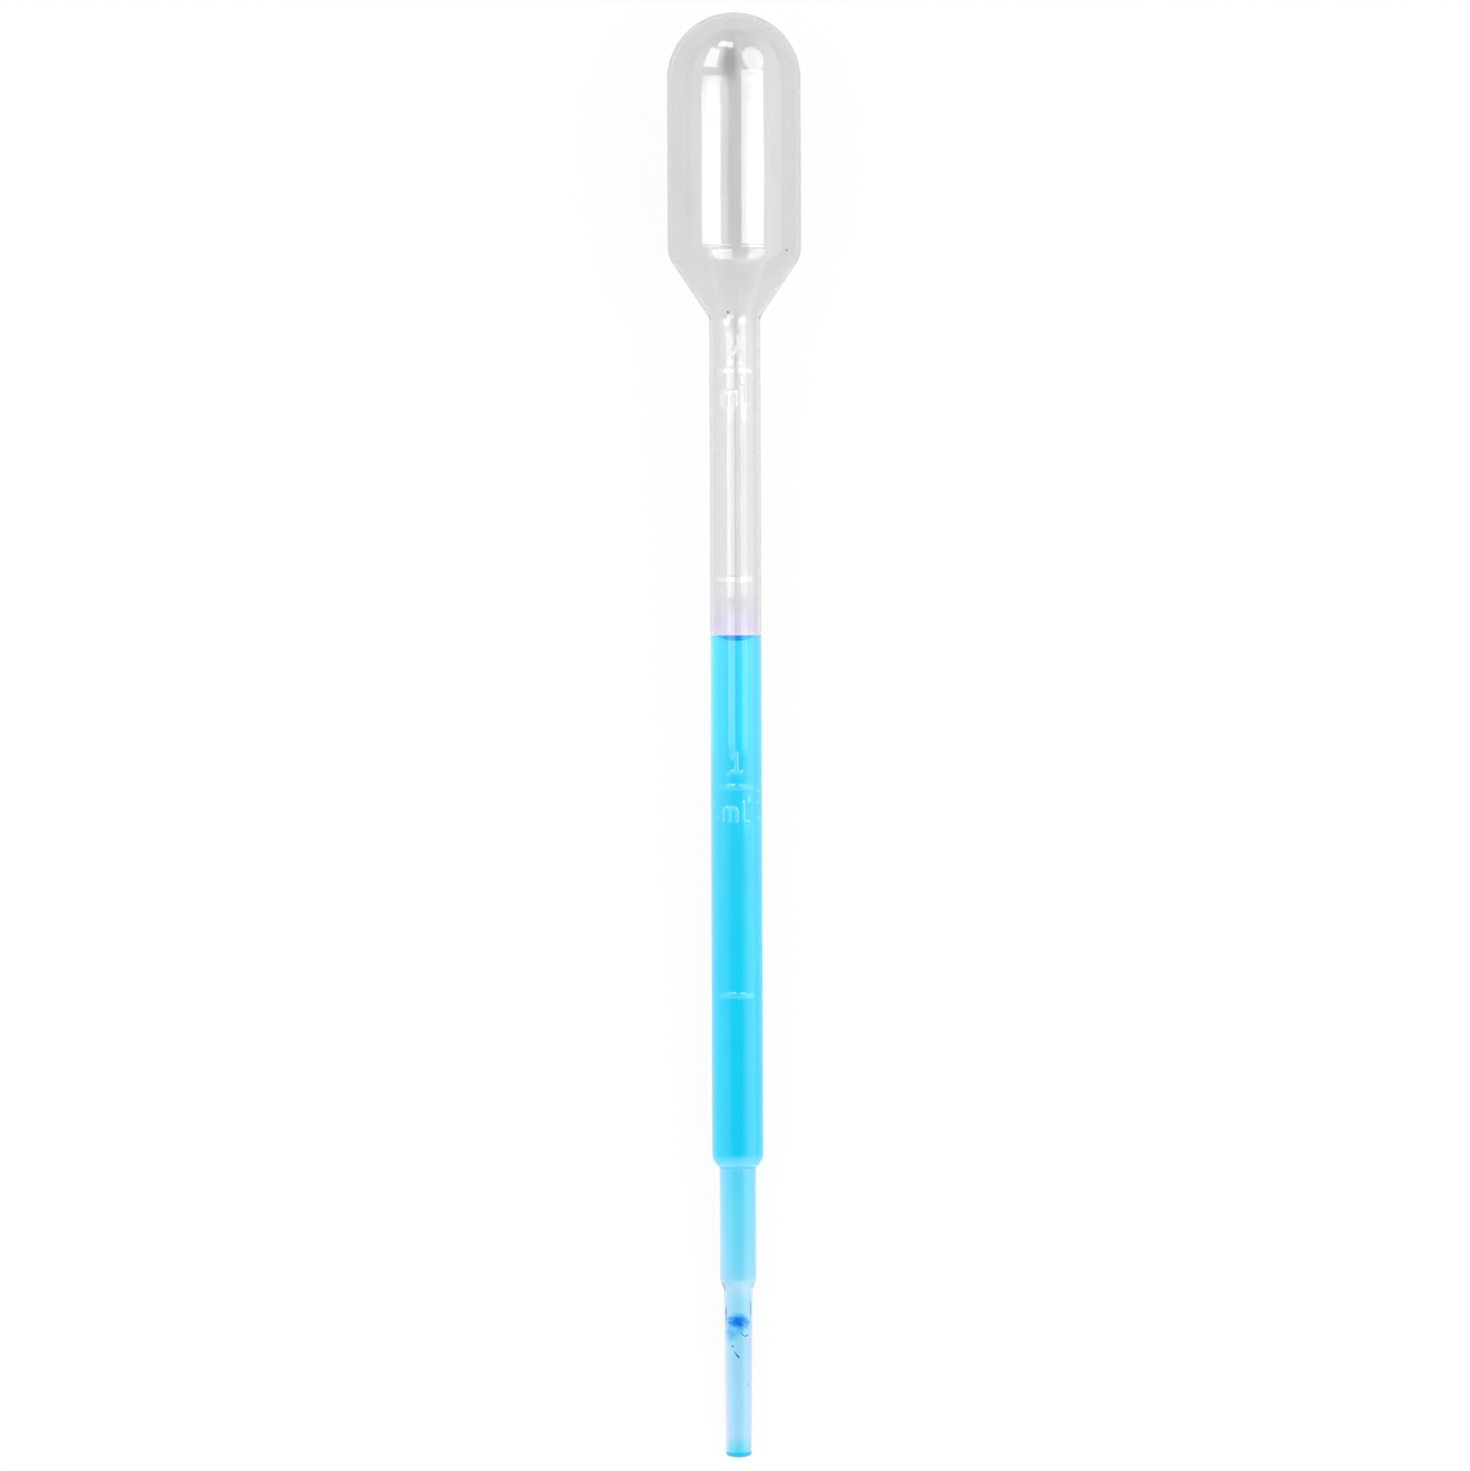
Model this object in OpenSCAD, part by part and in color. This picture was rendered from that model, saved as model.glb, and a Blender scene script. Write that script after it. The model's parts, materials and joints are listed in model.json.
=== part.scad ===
// Graduated transfer pipette, blow moulded in one piece from soft translucent plastic,
// holding a column of blue liquid. It lies along Y with its bulb towards +Y and its
// graduations facing +Z, resting on the shoulder of the bulb and on the end of the tip.
// All sizes are in millimetres. Places along the tube are counted from the end of the tip.

/* [Bulb] */
// Outside diameter of the squeeze bulb
bulb_d = 14.8; // [12:0.1:18]
// Length of the straight part of the bulb, between its cone and its dome
bulb_l = 19.6; // [14:0.1:30]
// Wall of the bulb, its dome and its cone
bulb_wall = 0.45; // [0.3:0.05:0.7]
// Angle between the cone under the bulb and the tube's axis, in degrees
neck_angle = 34; // [25:1:50]
// Outside rounding where the bulb turns into its cone
bulb_fillet = 1.3; // [0.6:0.1:2]
// Outside rounding where the cone runs into the stem
neck_fillet = 1.0; // [0.5:0.1:2]

/* [Stem] */
// Outside diameter of the graduated stem
stem_d = 5.65; // [4.8:0.05:7]
// Length of the stem, from its lower shoulder to the cone
stem_l = 93.4; // [75:0.1:120]
// Wall of the stem
stem_wall = 0.4; // [0.3:0.05:0.6]
// Angle of the shoulder under the stem to the tube's axis, in degrees
shoulder_angle = 50; // [40:1:60]
// Outside rounding of that shoulder where it leaves the stem
shoulder_fillet = 1.9; // [0.8:0.1:2.2]
// Hollow rounding at the foot of that shoulder
shoulder_foot_fillet = 0.3; // [0.1:0.05:0.5]

/* [Lower tube] */
// Outside diameter of the lower tube
lower_d = 4.0; // [3.8:0.05:4.4]
// Length of the lower tube, between the step to the tip and the stem's shoulder
lower_l = 12.4; // [8:0.1:20]
// Wall of the lower tube
lower_wall = 0.4; // [0.3:0.05:0.5]
// Length of the step between the tip and the lower tube
step_l = 1.1; // [0.8:0.1:2]
// Outside rounding at the wide end of the step
step_fillet = 0.5; // [0.2:0.1:0.8]
// Hollow rounding at the narrow end of the step
step_foot_fillet = 1.6; // [0.4:0.1:2]

/* [Tip] */
// Length of the tapered tip
tip_l = 18.0; // [14:0.1:24]
// Outside diameter of the tip where it meets the step
tip_top_d = 3.16; // [3:0.02:3.4]
// Outside diameter of the tip at its open end
tip_end_d = 2.88; // [2.4:0.02:3]
// Wall of the tip
tip_wall = 0.4; // [0.3:0.05:0.5]

/* [Graduations] */
// Distance of the first graduation from the lower end of the stem
mark_first = 18.4; // [12:0.1:22]
// Distance between graduations; the stem carries as many as fit on it
mark_pitch = 23.0; // [18:0.1:30]
// Width of a graduation line along the stem
mark_w = 0.6; // [0.3:0.05:0.8]
// Height of the raised marks over the stem, at their middle
mark_relief = 0.12; // [0.08:0.01:0.2]
// How much narrower than the stem the curve of the marks is, so that they fade out sideways
mark_fade = 0.45; // [0.4:0.05:0.6]
// Height of the figures and letters
text_h = 2.4; // [1.8:0.1:2.8]
// Distance from a graduation to the middle of the text beside it
text_offset = 2.7; // [2.2:0.1:3.2]
// Width of the strokes of the figures and letters
stroke_w = 0.36; // [0.25:0.01:0.4]

/* [Liquid] */
// Length of stem that the liquid fills, to the rim of its hollow surface
stem_fill = 58.3; // [10:0.1:65]
// Depth of the hollow surface at the top of the liquid
meniscus_depth = 0.6; // [0.2:0.05:1.2]
// Length of the drop that stands out of the tip
drop_l = 0.6; // [0.3:0.05:0.9]
// Clearance between the liquid and the plastic
liquid_gap = 0.02; // [0.01:0.01:0.05]

/* [Hidden] */
$fn = 96;
arc_step = 8;        // degrees between the points of a rounded corner
drop_step = 6;       // degrees between the points of the drop's outline
drop_power = 2.4;    // 2 makes the drop's outline an ellipse, more makes it squarer
drop_inset = 0.02;   // the drop's rim lies this far inside the tip's edge
least_round = 0.1;   // smallest rounding inside a corner
bore_overrun = 1;    // how far the bore's cut runs past the open end of the tip
overlap_turn = 3;    // degrees by which a bent stroke runs on into a straight one

// Places along the tube
lower_start = tip_l + step_l;
lower_end = lower_start + lower_l;
stem_start = lower_end + (stem_d - lower_d) / 2 / tan(shoulder_angle);
stem_end = stem_start + stem_l;
bulb_start = stem_end + (bulb_d - stem_d) / 2 / tan(neck_angle);
bulb_end = bulb_start + bulb_l;
fill_end = stem_start + stem_fill;

// As many graduations as leave room for the text over the last one
text_reach = text_offset + text_h / 2;
mark_count = 1 + floor((stem_l - mark_first - text_reach - neck_fillet) / mark_pitch);

// Figures and letters, as shares of their height
figure_w = 0.62 * text_h;
flag_w = 0.22 * text_h;
flag_h = 0.2 * text_h;
m_w = 0.75 * text_h;
m_h = 0.74 * text_h;
letter_gap = 0.17 * text_h;
l_w = 0.4 * text_h;

// An outline is a list of corners [radius from the axis, place, rounding]
function at(c, i) = [c[i][0], c[i][1]];
function toward(c, i, j) = (at(c, j) - at(c, i)) / norm(at(c, j) - at(c, i));
function half_angle(c, i) = acos(toward(c, i, i - 1) * toward(c, i, i + 1)) / 2;
// Length that the rounding of corner i takes from the lines on either side of it
function taken(c, i) = c[i][2] > 0 ? c[i][2] / tan(half_angle(c, i)) : 0;
// Share of its full size that a rounding keeps where two of them meet on one line
function share(c, i, j) = min(1, norm(at(c, j) - at(c, i)) / max(taken(c, i) + taken(c, j), least_round));
function rounding(c, i) = c[i][2] == 0 ? 0 : c[i][2] * min(share(c, i, i - 1), share(c, i, i + 1));
function middle(c, i) = c[i][2] == 0 ? at(c, i) :
    let (bisector = toward(c, i, i - 1) + toward(c, i, i + 1))
    at(c, i) + bisector / norm(bisector) * rounding(c, i) / sin(half_angle(c, i));
function angle_of(v) = atan2(v.y, v.x);
function short_turn(a) = a > 180 ? a - 360 : a < -180 ? a + 360 : a;
function arc(centre, radius, from, turn) =
    let (steps = max(2, ceil(abs(turn) / arc_step)))
    [for (k = [0 : steps]) centre + radius * [cos(from + turn * k / steps), sin(from + turn * k / steps)]];
function corner_points(c, i) = c[i][2] == 0 ? [at(c, i)] :
    let (reach = rounding(c, i) / tan(half_angle(c, i)),
         from = angle_of(at(c, i) + toward(c, i, i - 1) * reach - middle(c, i)),
         to = angle_of(at(c, i) + toward(c, i, i + 1) * reach - middle(c, i)))
    arc(middle(c, i), rounding(c, i), from, short_turn(to - from));
function rounded(c) = [for (i = [0 : len(c) - 1]) each corner_points(c, i)];

// Corners of the tube's outline up to its dome, set in from the outside by a wall for
// each section. Wide roundings lose the wall and hollow ones gain it, so that the wall
// stays even. The cone's wall is measured square to it, which moves its ends.
function corners(bulb_in, stem_in, lower_in, tip_in, start) =
    let (bulb_r = bulb_d / 2 - bulb_in,
         stem_r = stem_d / 2 - stem_in,
         lower_r = lower_d / 2 - lower_in,
         cone_in = bulb_in / cos(neck_angle))
    [[0, start, 0],
     [tip_end_d / 2 - tip_in, start, 0],
     [tip_top_d / 2 - tip_in, tip_l, step_foot_fillet + tip_in],
     [lower_r, lower_start, max(step_fillet - lower_in, least_round)],
     [lower_r, lower_end, shoulder_foot_fillet + lower_in],
     [stem_r, stem_start, max(shoulder_fillet - stem_in, least_round)],
     [stem_r, stem_end + (cone_in - stem_in) / tan(neck_angle), neck_fillet + stem_in],
     [bulb_r, bulb_start + (cone_in - bulb_in) / tan(neck_angle), max(bulb_fillet - bulb_in, least_round)],
     [bulb_r, bulb_end, 0],
     [0, bulb_end, 0]];
outside = corners(0, 0, 0, 0, 0);
tip_edge = 1;        // places of three corners in that list
stem_shoulder = 5;
bulb_shoulder = 7;

// Lying pose: the underside touches the table at the bulb's shoulder and at the tip's
// edge, or at the stem's shoulder where that stands lower, so the axis climbs towards
// the bulb by rest_tilt
function tilt_over(i) =
    let (run = middle(outside, bulb_shoulder) - middle(outside, i))
    atan2(run.x, run.y) + asin((rounding(outside, bulb_shoulder) - rounding(outside, i)) / norm(run));
rest_tilt = min(tilt_over(tip_edge), tilt_over(stem_shoulder));
function lift_over(i) =
    middle(outside, i).x * cos(rest_tilt) + rounding(outside, i) - middle(outside, i).y * sin(rest_tilt);
rest_lift = max(lift_over(tip_edge), lift_over(stem_shoulder));
bulb_side_y = bulb_end * cos(rest_tilt) + bulb_d / 2;
tip_side_y = -drop_l * cos(rest_tilt);

// Half outline of the tube, inset by those walls
module outline(bulb_in, stem_in, lower_in, tip_in, start) {
    bulb_r = bulb_d / 2 - bulb_in;
    polygon(rounded(corners(bulb_in, stem_in, lower_in, tip_in, start)));
    // dome
    translate([0, bulb_end]) intersection() {
        circle(r = bulb_r);
        square(bulb_r);
    }
}

// Turns a half outline about the tube's axis, which runs along +Y
module turned() {
    rotate([-90, 0, 0]) rotate_extrude() children();
}

// Lays the tube down, with the middle of its length over the origin
module lying() {
    translate([0, -(bulb_side_y + tip_side_y) / 2, rest_lift]) rotate([rest_tilt, 0, 0]) children();
}

module stroke(from, to) {
    translate(from) rotate(angle_of(to - from)) translate([0, -stroke_w / 2])
        square([norm(to - from), stroke_w]);
}

// Part of a ring one stroke wide, between two angles of a half turn or a little more
module bent_stroke(outer_r, from, to) {
    reach = 2 * outer_r;
    turns = [for (k = [0 : 4]) from + (to - from) * k / 4];
    intersection() {
        difference() {
            circle(r = outer_r);
            circle(r = outer_r - stroke_w);
        }
        polygon([[0, 0], for (a = turns) reach * [cos(a), sin(a)]]);
    }
}

module figure_one() {
    translate([-stroke_w / 2, 0]) square([stroke_w, text_h]);
    translate([-figure_w / 2, 0]) square([figure_w, stroke_w]);
    polygon([[0, text_h], [-flag_w, text_h - flag_h], [-flag_w, text_h - flag_h - stroke_w],
             [0, text_h - stroke_w]]);
}

module figure_two() {
    bowl_r = figure_w / 2;
    line_r = bowl_r - stroke_w / 2;
    bowl_centre = [0, text_h - bowl_r];
    foot = [-line_r, stroke_w / 2];
    // the slant leaves the bowl along its tangent
    bowl_end = angle_of(foot - bowl_centre) + acos(line_r / norm(foot - bowl_centre));
    translate(bowl_centre) bent_stroke(bowl_r, bowl_end - overlap_turn, 180);
    stroke(bowl_centre + line_r * [cos(bowl_end), sin(bowl_end)], foot);
    translate([-bowl_r, 0]) square([figure_w, stroke_w]);
}

module letter_m() {
    leg_pitch = (m_w - stroke_w) / 2;
    arch_r = (leg_pitch + stroke_w) / 2;
    square([stroke_w, m_h]);
    for (i = [0 : 1]) {
        translate([i * leg_pitch + arch_r, m_h - arch_r]) bent_stroke(arch_r, 0, 180);
        translate([(i + 1) * leg_pitch, 0]) square([stroke_w, m_h - arch_r]);
    }
}

module letter_l() {
    square([stroke_w, text_h]);
    square([l_w, stroke_w]);
}

// The unit, mL, centred on the axis
module unit() {
    translate([-(m_w + letter_gap + l_w) / 2, 0]) {
        letter_m();
        translate([m_w + letter_gap, 0]) letter_l();
    }
}

// Flat drawing of every mark, across and along the stem. The second and the fourth line
// are whole millilitres, with their figure over the line and the unit under it.
module marks_drawing() {
    for (i = [0 : mark_count - 1]) translate([0, stem_start + mark_first + i * mark_pitch]) {
        translate([-stem_d / 2, -mark_w / 2]) square([stem_d, mark_w]);
        if (i == 1 || i == 3) {
            translate([0, text_offset - text_h / 2]) {
                if (i == 1) figure_one();
                else figure_two();
            }
            translate([0, -text_offset - text_h / 2]) unit();
        }
    }
}

// Marks raised from the front of the stem
module marks() {
    crown_d = stem_d - mark_fade;
    intersection() {
        linear_extrude(height = stem_d) marks_drawing();
        translate([0, stem_start, stem_d / 2 + mark_relief - crown_d / 2]) rotate([-90, 0, 0])
            cylinder(d = crown_d, h = stem_l);
    }
}

module pipette_body() {
    color([0.87, 0.87, 0.89, 0.6]) lying() difference() {
        union() {
            turned() outline(0, 0, 0, 0, 0);
            marks();
        }
        turned() outline(bulb_wall, stem_wall, lower_wall, tip_wall, -bore_overrun);
    }
}

// Drop standing on the end of the tip, as wide as the plastic's end
module drop() {
    drop_r = tip_end_d / 2 - drop_inset;
    stand_out = drop_l - liquid_gap;
    bulge = [for (a = [0 : drop_step : 90]) [drop_r * pow(cos(a), 2 / drop_power),
                                             -stand_out * pow(sin(a), 2 / drop_power)]];
    turned() translate([0, -liquid_gap]) polygon([[0, 0], each bulge]);
}

module liquid() {
    bore_r = stem_d / 2 - stem_wall;
    meniscus_r = (pow(bore_r, 2) + pow(meniscus_depth, 2)) / (2 * meniscus_depth);
    color([0.1, 0.82, 1, 0.8]) lying() {
        difference() {
            turned() outline(bulb_wall + liquid_gap, stem_wall + liquid_gap, lower_wall + liquid_gap,
                             tip_wall + liquid_gap, -liquid_gap);
            translate([0, fill_end, 0]) rotate([-90, 0, 0]) cylinder(d = 2 * bulb_d, h = bulb_end + bulb_d);
            translate([0, fill_end - meniscus_depth + meniscus_r, 0]) sphere(r = meniscus_r);
        }
        drop();
    }
}

pipette_body();
liquid();
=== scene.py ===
"""Looks of the plastic dropper pipette: a soft translucent tube with raised graduations,
a column of blue liquid and the dye residue in its tip, seen from straight above.

Sizes are in millimetres and places along the tube are counted from the end of the tip,
as in part.scad. A point (x, t, z) of the tube's own frame is x across, t along the tube
towards the bulb, and z towards the side that carries the graduations."""
import json
import math

import bmesh
import bpy
import numpy as np
from mathutils import Matrix, Vector, noise


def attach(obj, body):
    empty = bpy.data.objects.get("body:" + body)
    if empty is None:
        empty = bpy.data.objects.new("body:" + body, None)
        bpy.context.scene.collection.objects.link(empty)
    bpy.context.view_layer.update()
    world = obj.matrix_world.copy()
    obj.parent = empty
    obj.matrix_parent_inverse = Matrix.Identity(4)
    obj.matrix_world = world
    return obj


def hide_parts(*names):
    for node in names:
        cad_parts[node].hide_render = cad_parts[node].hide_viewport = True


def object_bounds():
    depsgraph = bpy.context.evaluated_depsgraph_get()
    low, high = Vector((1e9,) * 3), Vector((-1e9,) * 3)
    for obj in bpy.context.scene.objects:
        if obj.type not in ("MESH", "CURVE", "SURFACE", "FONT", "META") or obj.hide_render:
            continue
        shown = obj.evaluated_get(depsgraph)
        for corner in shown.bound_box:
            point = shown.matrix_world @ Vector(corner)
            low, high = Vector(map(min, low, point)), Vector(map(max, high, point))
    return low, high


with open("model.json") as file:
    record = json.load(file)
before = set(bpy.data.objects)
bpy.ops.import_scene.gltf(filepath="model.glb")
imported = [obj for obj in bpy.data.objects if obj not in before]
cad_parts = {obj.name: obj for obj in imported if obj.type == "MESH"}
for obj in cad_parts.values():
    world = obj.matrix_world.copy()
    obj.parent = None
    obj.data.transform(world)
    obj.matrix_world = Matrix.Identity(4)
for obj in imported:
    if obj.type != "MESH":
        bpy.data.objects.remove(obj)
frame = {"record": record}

cad_box = [list(corner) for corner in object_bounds()]
MM = 0.001

# Sizes of the CAD model, under the names that part.scad gives them. Two rounds differ from
# it: the bulb's corner is 1.3 there, while the photograph's reflections end softly, and the
# shoulder's foot is 0.3, which showed here as a dark line.
BULB_D, BULB_L, BULB_WALL, NECK_ANGLE = 14.8, 19.6, 0.45, 34
BULB_FILLET, NECK_FILLET = 3.3, 1.0
STEM_D, STEM_L, STEM_WALL, SHOULDER_ANGLE = 5.65, 93.4, 0.4, 50
SHOULDER_FILLET, SHOULDER_FOOT_FILLET = 1.9, 0.15
LOWER_D, LOWER_L, LOWER_WALL = 4.0, 12.4, 0.4
STEP_L, STEP_FILLET, STEP_FOOT_FILLET = 1.1, 0.5, 1.6
TIP_L, TIP_TOP_D, TIP_END_D, TIP_WALL = 18.0, 3.16, 2.88, 0.4
MARK_FIRST, MARK_PITCH, MARK_COUNT, MARK_W = 18.4, 23.0, 4, 0.6
MARK_RELIEF, MARK_FADE = 0.12, 0.45
TEXT_H, TEXT_OFFSET, STROKE_W = 2.4, 2.7, 0.36
STEM_FILL, MENISCUS_DEPTH, DROP_L, LIQUID_GAP = 58.3, 0.6, 0.6, 0.02
DROP_POWER, DROP_INSET, LEAST_ROUND = 2.4, 0.02, 0.1

# Places along the tube
LOWER_START = TIP_L + STEP_L
LOWER_END = LOWER_START + LOWER_L
STEM_START = LOWER_END + (STEM_D - LOWER_D) / 2 / math.tan(math.radians(SHOULDER_ANGLE))
STEM_END = STEM_START + STEM_L
BULB_START = STEM_END + (BULB_D - STEM_D) / 2 / math.tan(math.radians(NECK_ANGLE))
BULB_END = BULB_START + BULB_L
TOP = BULB_END + BULB_D / 2
FILL_END = STEM_START + STEM_FILL

# The tube's own frame, from the mount at the open end of the tip
outlet = next(m for m in frame["record"]["mounts"] if m["name"] == "tip_outlet")
ORIGIN = Vector(outlet["pos_m"])
ALONG = -Vector(outlet["axis"]).normalized()
ACROSS = Vector((1, 0, 0))
FRONT = ACROSS.cross(ALONG)
TUBE = Matrix((ACROSS, ALONG, FRONT)).transposed()


def in_world(points):
    """World places, in metres, of points of the tube's frame."""
    turn = np.array(TUBE)
    return np.asarray(points, float) * MM @ turn.T + np.array(ORIGIN)


def world_point(x, t, z):
    return Vector(in_world([(x, t, z)])[0])


# ---------------- outlines

def corners(bulb_in, stem_in, lower_in, tip_in):
    """Corners [radius, place, rounding] of the tube's outline from the tip to the dome,
    set in from the outside by a wall for each section, as in part.scad."""
    cone = math.tan(math.radians(NECK_ANGLE))
    cone_in = bulb_in / math.cos(math.radians(NECK_ANGLE))
    stem_r = STEM_D / 2 - stem_in
    return [
        [TIP_END_D / 2 - tip_in, 0, 0],
        [TIP_TOP_D / 2 - tip_in, TIP_L, STEP_FOOT_FILLET + tip_in],
        [LOWER_D / 2 - lower_in, LOWER_START, max(STEP_FILLET - lower_in, LEAST_ROUND)],
        [LOWER_D / 2 - lower_in, LOWER_END, SHOULDER_FOOT_FILLET + lower_in],
        [stem_r, STEM_START, max(SHOULDER_FILLET - stem_in, LEAST_ROUND)],
        [stem_r, STEM_END + (cone_in - stem_in) / cone, NECK_FILLET + stem_in],
        [BULB_D / 2 - bulb_in, BULB_START + (cone_in - bulb_in) / cone,
         max(BULB_FILLET - bulb_in, LEAST_ROUND)],
        [BULB_D / 2 - bulb_in, BULB_END, 0],
    ]


def unit(v):
    return v / np.linalg.norm(v)


def rounded(outline, step=6):
    """Points [radius, place, normal across, normal along] of an outline that runs from the
    tip to the bulb, with its corners rounded. The normals point away from the axis."""
    at = [np.array(c[:2], float) for c in outline]
    last = len(outline) - 1
    half, taken = [0.0] * (last + 1), [0.0] * (last + 1)
    for i in range(1, last):
        back, on = unit(at[i - 1] - at[i]), unit(at[i + 1] - at[i])
        half[i] = math.acos(back @ on) / 2
        taken[i] = outline[i][2] / math.tan(half[i]) if outline[i][2] else 0.0

    def share(i, j):
        return min(1, np.linalg.norm(at[j] - at[i]) / max(taken[i] + taken[j], LEAST_ROUND))

    def out(direction):
        return np.array([direction[1], -direction[0]])

    points = []
    for i in range(last + 1):
        if not taken[i]:
            on = unit(at[i + 1] - at[i]) if i < last else unit(at[i] - at[i - 1])
            points.append([*at[i], *out(on)])
            continue
        radius = outline[i][2] * min(share(i, i - 1), share(i, i + 1))
        back, on = unit(at[i - 1] - at[i]), unit(at[i + 1] - at[i])
        centre = at[i] + unit(back + on) * radius / math.sin(half[i])
        first = at[i] + back * radius / math.tan(half[i]) - centre
        side = 1 if out(-back) @ first > 0 else -1
        turn = -side * (math.pi - 2 * half[i])
        count = max(3, math.ceil(abs(math.degrees(turn)) / step))
        for k in range(count + 1):
            a = -turn * k / count
            arm = np.array([first[0] * math.cos(a) - first[1] * math.sin(a),
                            first[0] * math.sin(a) + first[1] * math.cos(a)])
            points.append([*(centre + arm), *(side * unit(arm))])
    return points


def dome(radius, step=4):
    """Points of the dome, from its foot up to the axis."""
    angles = [math.radians(a) for a in np.arange(step, 90 + step / 2, step)]
    return [[radius * math.cos(a), BULB_END + radius * math.sin(a), math.cos(a), math.sin(a)]
            for a in angles]


def spaced(points, places, longest=3.0):
    """The outline with points put into its straight lines: at the places, and so that no
    line is longer than longest."""
    result = [points[0]]
    for p, q in zip(points, points[1:]):
        inner = [(t - p[1]) / (q[1] - p[1]) for t in places if p[1] + 1e-4 < t < q[1] - 1e-4]
        stops = [0.0, *inner, 1.0]
        for a, b in zip(stops, stops[1:]):
            length = (b - a) * math.hypot(q[0] - p[0], q[1] - p[1])
            count = max(1, math.ceil(length / longest))
            for k in range(1, count + 1):
                share = a + (b - a) * k / count
                normal = unit((1 - share) * np.array(p[2:]) + share * np.array(q[2:]))
                place = (1 - share) * np.array(p[:2]) + share * np.array(q[:2])
                result.append([*place, *normal])
    return result


# ---------------- raised marks

FIGURE_W, FLAG_W, FLAG_H = 0.62 * TEXT_H, 0.22 * TEXT_H, 0.2 * TEXT_H
M_W, M_H, LETTER_GAP, L_W = 0.75 * TEXT_H, 0.74 * TEXT_H, 0.17 * TEXT_H, 0.4 * TEXT_H
HALF_STROKE = STROKE_W / 2
MARK_EDGE = 0.24      # width of the slope at the edge of a mark
MARK_GRID = 0.055     # spacing of the mesh rings over the marks
MARK_PLACES = [STEM_START + MARK_FIRST + i * MARK_PITCH for i in range(MARK_COUNT)]
MARKS_FROM = STEM_START + 5     # no mark reaches below this place
TEXT_MARGIN = 0.2
FAR_AWAY = 1e9


def arc_line(centre, radius, start, end, count=14):
    angles = np.radians(np.linspace(start, end, count + 1))
    return [(centre[0] + radius * math.cos(a), centre[1] + radius * math.sin(a)) for a in angles]


def figure_one():
    h, s = TEXT_H, HALF_STROKE
    return [[(0, s), (0, h - s), (-FLAG_W + s / 2, h - FLAG_H - s)],
            [(-FIGURE_W / 2 + s, s), (FIGURE_W / 2 - s, s)]]


def figure_two():
    r, s = FIGURE_W / 2 - HALF_STROKE, HALF_STROKE
    centre = (0, TEXT_H - FIGURE_W / 2)
    to_foot = (-r, s - centre[1])
    end = math.atan2(to_foot[1], to_foot[0]) + math.acos(r / math.hypot(*to_foot))
    return [arc_line(centre, r, 180, math.degrees(end)) + [(-r, s), (r, s)]]


def unit_letters():
    """The unit, mL, centred on the axis."""
    s = HALF_STROKE
    left = -(M_W + LETTER_GAP + L_W) / 2
    pitch = M_W / 2 - s
    arch_y = M_H - s - pitch / 2
    lines = [[(left + s, s), (left + s, M_H - s)]]
    for i in range(2):
        foot = left + s + (i + 1) * pitch
        lines.append(arc_line((foot - pitch / 2, arch_y), pitch / 2, 180, 0) + [(foot, s)])
    l_left = left + M_W + LETTER_GAP
    lines.append([(l_left + s, TEXT_H - s), (l_left + s, s), (l_left + L_W - s, s)])
    return lines


def distance_to(lines, x, t):
    """Distance of points from the nearest of some lines through points."""
    least = np.full(np.broadcast(x, t).shape, FAR_AWAY)
    for line in lines:
        for (ax, ay), (bx, by) in zip(line, line[1:]):
            dx, dy = bx - ax, by - ay
            share = np.clip(((x - ax) * dx + (t - ay) * dy) / (dx * dx + dy * dy), 0, 1)
            least = np.minimum(least, np.hypot(x - ax - share * dx, t - ay - share * dy))
    return least


def mark_lines():
    """Lines of the figures and letters with the places between which each set lies."""
    sets = []
    for i, figure in ((1, figure_one()), (3, figure_two())):
        for lines, low in ((figure, TEXT_OFFSET - TEXT_H / 2),
                           (unit_letters(), -TEXT_OFFSET - TEXT_H / 2)):
            base = MARK_PLACES[i] + low
            moved = [[(x, y + base) for x, y in line] for line in lines]
            sets.append((moved, base - TEXT_MARGIN, base + TEXT_H + TEXT_MARGIN))
    return sets


TEXT_SETS = mark_lines()
GLINT_SPOTS = ((-0.94, 75.1), (-0.94, 73.5), (1.05, 73.6), (2.35, 73.3), (1.4, 72.1), (2.35, 71.9),
        (-2.1, 70.2), (2.45, 70.2))     # places across and along of frosted spots with a painted highlight, which stand in for glints
GLINT_REACH = 0.15


def crown(angle):
    """Height of the marks over the stem at an angle from the front: they fade sideways."""
    radius, stem_r = (STEM_D - MARK_FADE) / 2, STEM_D / 2
    centre = stem_r + MARK_RELIEF - radius
    reach = centre * np.cos(angle) + np.sqrt(radius**2 - (centre * np.sin(angle)) ** 2)
    return np.where(np.cos(angle) > 0, np.maximum(reach - stem_r, 0), 0)


def mark_share(angle, t, edge=MARK_EDGE):
    """How much of a mark there is at an angle from the front and a place: 1 on its top, and
    falling to 0 over the width of its edge."""
    x = STEM_D / 2 * np.sin(angle)
    inside = np.full(np.broadcast(angle, t).shape, FAR_AWAY)
    for place in MARK_PLACES:
        inside = np.minimum(inside, np.abs(t - place) - MARK_W / 2)
    for lines, low, high in TEXT_SETS:
        if np.max(t) > low and np.min(t) < high:
            near = (t > low) & (t < high)
            inside = np.where(near, np.minimum(inside, distance_to(lines, x, t) - HALF_STROKE),
                              inside)
    share = np.clip(0.5 - inside / edge, 0, 1)
    return share * share * (3 - 2 * share)


def relief(angle, t):
    """Height of the marks over the stem's surface at an angle from the front and a place."""
    return crown(angle) * mark_share(angle, t)


TOP_FROST_AND_HIGHLIGHT, FLANK_SHADE = 0.9, 0.4      # how frosted a mark's top is, with its painted highlight, and how dark the painted shade along its flanks
FADED_HEIGHT = 0.03                    # below this height a mark loses its frosting and its painted highlight and shade
RING_FROST_AND_LIGHT = (0.6, 0.45, 1.0, 1.0)     # how much of the frosting and the painted highlight and shade each ring gets
RING_REACH = 0.8 * MARK_W


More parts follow.
